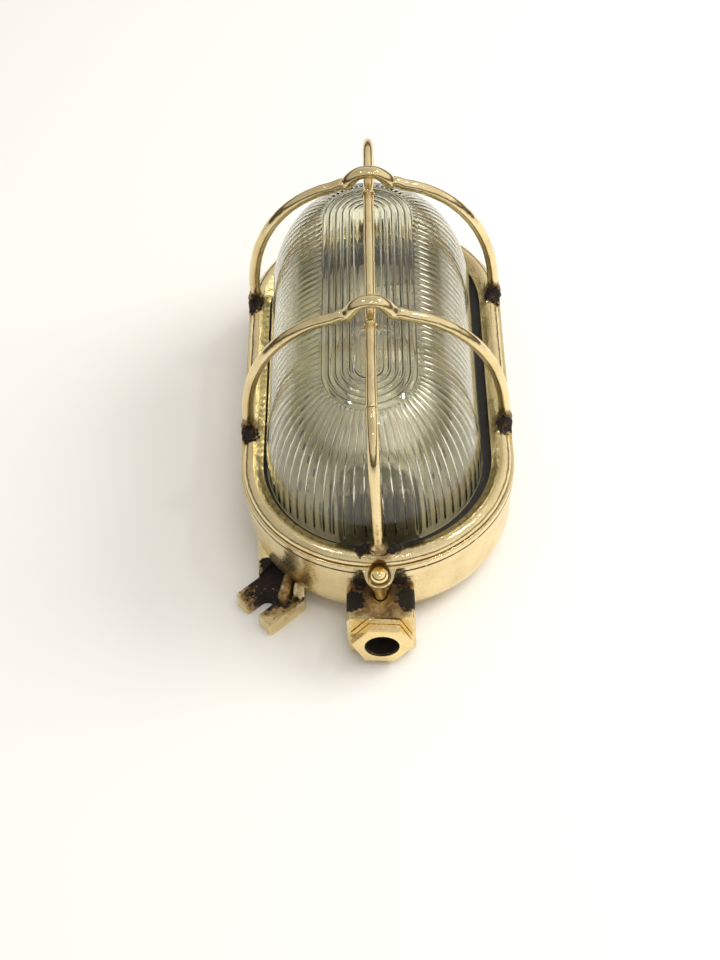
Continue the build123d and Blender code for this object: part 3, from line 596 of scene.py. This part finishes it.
def rod(name, stations, level, look, replaced, unevenness=0.10 * MM):
    """Closed rod through stations of (place along, height, half thickness, half width).

    level turns (along, height, across) into a point, so one function serves rods in either plane.
    """
    vertices = []
    faces = []
    count = len(stations)
    for index, (along, height, thick, wide) in enumerate(stations):
        before = stations[max(index - 1, 0)]
        after = stations[min(index + 1, count - 1)]
        way = Vector((after[0] - before[0], after[1] - before[1])).normalized()
        out = Vector((-way.y, way.x))
        for point in range(RING_POINTS):
            angle = 2 * math.pi * point / RING_POINTS
            rise = out * thick * math.cos(angle)
            spot = level(along + rise.x, height + rise.y, wide * math.sin(angle))
            centre = level(along, height, 0)
            swell = noise.noise(spot * 260) * 0.7 + noise.noise(spot * 900) * 0.3
            vertices.append(spot + (spot - centre).normalized() * swell * unevenness)
    for ring in range(count - 1):
        for point in range(RING_POINTS):
            after = (point + 1) % RING_POINTS
            faces.append((ring * RING_POINTS + point, ring * RING_POINTS + after,
                          (ring + 1) * RING_POINTS + after, (ring + 1) * RING_POINTS + point))
    faces.append(tuple(range(RING_POINTS)))
    faces.append(tuple(range((count - 1) * RING_POINTS, count * RING_POINTS)))
    return add_piece(name, vertices, faces, look, "cover", replaced)


def arch_stations(top, crown, reach):
    """Half an arch from its foot to the middle of the saddle over the long bar."""
    root = FOOT_HEIGHT - 2 * MM
    leg = [(reach, FOOT_HEIGHT - 1.0 * MM, 3.9 * MM, 3.9 * MM),
           (reach, FOOT_HEIGHT + 0.4 * MM, 3.5 * MM, 3.5 * MM),
           (reach, FOOT_HEIGHT + 2.2 * MM, ARCH_ROD * 1.04, ARCH_ROD * 1.04)]
    sweep = []
    for step in range(1, 15):
        angle = math.pi / 2 * (step + 0.6) / 16
        x = reach * math.cos(angle) ** (2 / ARCH_POWER)
        z = root + (crown - root) * math.sin(angle) ** (2 / ARCH_POWER)
        if z > FOOT_HEIGHT + 5 * MM and x > 14 * MM:
            sweep.append((x, z, ARCH_ROD, ARCH_ROD))
    peak = top - ARCH_ROD
    saddle = [(13.0 * MM, crown - 0.1 * MM, 2.7 * MM, 2.7 * MM),
              (11.2 * MM, crown - 0.3 * MM, 2.75 * MM, 2.8 * MM),
              (10.0 * MM, crown + 0.2 * MM, 3.1 * MM, 3.3 * MM),
              (8.5 * MM, crown + 2.2 * MM, 3.0 * MM, 3.4 * MM),
              (6.6 * MM, crown + (peak - crown) * 0.62, 2.85 * MM, 3.35 * MM),
              (3.8 * MM, crown + (peak - crown) * 0.89, 2.72 * MM, 3.3 * MM),
              (0.0, peak - 0.15 * MM, 2.65 * MM, 3.3 * MM)]
    return leg + sweep + saddle


def guard_arch(node):
    low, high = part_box(node)
    y = (low.y + high.y) / 2
    reach = arch_feet[1].x
    crown = high.z - SADDLE_RISE[node]
    half = curve_through(arch_stations(high.z, crown, reach), 6)
    whole = half + [(-x, z, thick, wide) for x, z, thick, wide in reversed(half[:-1])]
    rod(node + "_rod", whole, lambda a, h, c: Vector((a, y + c, h)), looks["near_guard_arch"],
        (node,))


def bar_stations(reach, top):
    """The long bar from its near foot to its far foot, necked and collared at each saddle."""
    centre = top - BAR_ROD - 0.55 * MM
    corner = 26 * MM
    base = FOOT_HEIGHT
    near = [(-reach, base - 1.0 * MM, 4.2 * MM, 4.4 * MM),
            (-reach, base + 0.8 * MM, 4.3 * MM, 4.5 * MM),
            (-reach, base + 2.2 * MM, 3.5 * MM, 3.6 * MM),
            (-reach, base + 4.5 * MM, 2.75 * MM, 2.75 * MM),
            (-reach, base + 9 * MM, BAR_ROD, BAR_ROD)]
    rise = centre - corner - base
    near += [(-reach, base + rise * share, BAR_ROD, BAR_ROD) for share in (0.5, 0.75)]
    for step in range(9):
        angle = math.pi / 2 * step / 8
        near.append((-reach + corner * (1 - math.cos(angle)),
                     centre - corner * (1 - math.sin(angle)), BAR_ROD, BAR_ROD))
    far = [(-y, z, thick, wide) for y, z, thick, wide in reversed(near)]
    marks = []
    for arch in arch_nodes:
        y = middle(arch).y
        marks += [(y - 9.5 * MM, BAR_ROD), (y - 7.0 * MM, BAR_ROD + 0.62 * MM),
                  (y - 5.2 * MM, BAR_ROD + 0.2 * MM), (y - 4.0 * MM, BAR_ROD - 0.35 * MM),
                  (y, BAR_ROD - 0.1 * MM), (y + 5 * MM, BAR_ROD)]
    between = [(20 * MM, BAR_ROD)]
    top_run = [(y, centre, radius, radius) for y, radius in sorted(marks + between)]
    return near + top_run + far


for arch in arch_nodes:
    guard_arch(arch)
bar_run = curve_through(bar_stations(bar_reach, bar_high.z), 6)
rod("long_guard_bar_rod", bar_run, lambda a, h, c: Vector((c, a, h)),
    looks["near_guard_arch"], ("long_guard_bar",))


# ---------------------------------------------------------------- brazing
BRAZE_UNEVEN = 0.42
ARCH_BRAZE = Vector((3.7, 6.9, 1.9)) * MM      # half-sizes of the lump at an arch's foot
BAR_BRAZE = Vector((7.8, 4.3, 2.4)) * MM


def lump(name, place, size, look, seed):
    """Uneven blob of spelter: a ball pushed about by noise, with a flat underside."""
    work = bmesh.new()
    bmesh.ops.create_icosphere(work, subdivisions=5, radius=1)
    shift = Vector((seed * 7.3, seed * 3.1, seed * 5.7))
    vertices = []
    for vertex in work.verts:
        way = vertex.co.normalized()
        swell = (noise.noise(way * 1.3 + shift) * 0.55 + noise.noise(way * 3.4 + shift) * 0.30
                 + noise.noise(way * 8.0 + shift) * 0.16)
        point = way * (1 + BRAZE_UNEVEN * swell)
        point = Vector((point.x * size.x, point.y * size.y, max(point.z, 0) * size.z))
        vertices.append(place + point)
    faces = [tuple(v.index for v in face.verts) for face in work.faces]
    work.free()
    return add_piece(name, vertices, faces, look, "cover")


def braze_material():
    g = Graph("brazing_spelter")
    big = g.noise(3.4, 5, 0.7)
    fine = g.noise(0.9, 6, 0.7)
    colour = g.mix(g.span(big, 0.46, 0.70), (0.016, 0.011, 0.012), (0.12, 0.075, 0.045))
    colour = g.mix(g.span(fine, 0.58, 0.72, 0.0, 0.6), colour, (0.60, 0.45, 0.24))
    g.set(Base_Color=colour, Metallic=g.span(big, 0.35, 0.65, 0.35, 0.95),
          Roughness=g.span(fine, 0.3, 0.7, 0.16, 0.45), Normal=g.bump(fine, 0.5))
    return g.material


spelter = braze_material()
for index, foot in enumerate(arch_feet):
    inwards = -1 if foot.x > 0 else 1
    lump(f"arch_braze_{index}", foot + Vector((inwards * 0.3, -3.8, -0.9)) * MM, ARCH_BRAZE,
         spelter, index + 1)
for index, foot in enumerate(bar_feet):
    lump(f"bar_braze_{index}", foot + Vector((0, 0, -1.4)) * MM, BAR_BRAZE, spelter, index + 11)


# ---------------------------------------------------------------- studio
def floor_material():
    g = Graph("white_table")
    g.set(Base_Color=(0.90, 0.89, 0.865), Roughness=g.span(g.noise(300), 0.3, 0.7, 0.42, 0.5))
    return g.material


def make_floor():
    bpy.ops.mesh.primitive_plane_add(size=8, location=(0, 0, 0))
    floor = bpy.context.object
    floor.name = "floor"
    floor.data.materials.append(floor_material())


def soft_light(name, place, aim, size, power, colour=(1, 1, 1), mirrored=True):
    lamp = bpy.data.lights.new(name, "AREA")
    lamp.shape = "RECTANGLE"
    lamp.size, lamp.size_y = size
    lamp.energy = power
    lamp.color = colour
    holder = bpy.data.objects.new(name, lamp)
    holder.location = place
    holder.rotation_euler = (Vector(aim) - Vector(place)).to_track_quat("-Z", "Y").to_euler()
    holder.visible_glossy = mirrored
    bpy.context.scene.collection.objects.link(holder)


def make_world():
    """Pale room: bright above, a dim band of walls near the horizon, paler to the right."""
    world = bpy.data.worlds.new("studio")
    world.use_nodes = True
    nodes, links = world.node_tree.nodes, world.node_tree.links
    backdrop = nodes["Background"]
    way = nodes.new("ShaderNodeSeparateXYZ")
    links.new(nodes.new("ShaderNodeTexCoord").outputs["Generated"], way.inputs[0])
    height = nodes.new("ShaderNodeValToRGB")
    links.new(way.outputs["Z"], height.inputs["Fac"])
    stops = height.color_ramp.elements
    stops[0].position, stops[0].color = 0.0, (0.11, 0.095, 0.07, 1)
    stops[1].position, stops[1].color = 1.0, (0.62, 0.60, 0.56, 1)
    for place, colour in ((0.10, (0.05, 0.042, 0.03, 1)), (0.23, (0.20, 0.175, 0.13, 1)),
                          (0.38, (0.95, 0.915, 0.84, 1)), (0.70, (0.80, 0.77, 0.72, 1))):
        stops.new(place).color = colour
    side = nodes.new("ShaderNodeMapRange")
    links.new(way.outputs["X"], side.inputs[0])
    for index, value in enumerate((-1.0, 1.0, 0.52, 1.25)):
        side.inputs[index + 1].default_value = value
    links.new(side.outputs[0], backdrop.inputs["Strength"])
    links.new(height.outputs["Color"], backdrop.inputs["Color"])
    plain = nodes.new("ShaderNodeBackground")
    plain.inputs["Color"].default_value = (0.93, 0.92, 0.89, 1)
    plain.inputs["Strength"].default_value = 1.0
    chooser = nodes.new("ShaderNodeMixShader")
    links.new(nodes.new("ShaderNodeLightPath").outputs["Is Camera Ray"], chooser.inputs[0])
    links.new(backdrop.outputs[0], chooser.inputs[1])
    links.new(plain.outputs[0], chooser.inputs[2])
    links.new(chooser.outputs[0], nodes["World Output"].inputs["Surface"])
    bpy.context.scene.world = world


make_floor()
make_world()
soft_light("window", (1.2, 0.35, 1.0), (0, 0, 0.05), (0.9, 0.7), 14, (1.0, 0.985, 0.95), False)
soft_light("ceiling", (0.3, -0.2, 1.7), (0, 0, 0.05), (0.9, 0.9), 7, (1.0, 0.98, 0.94), False)
soft_light("lamp_right", (0.42, 0.05, 0.85), (0, 0, 0.05), (0.10, 0.04), 0.55)
soft_light("lamp_left", (-0.30, -0.05, 0.95), (0, 0, 0.05), (0.05, 0.03), 0.30)
soft_light("lamp_front", (0.12, -0.55, 0.95), (0, 0, 0.05), (0.06, 0.03), 0.18)
bpy.context.scene.view_settings.view_transform = "Standard"
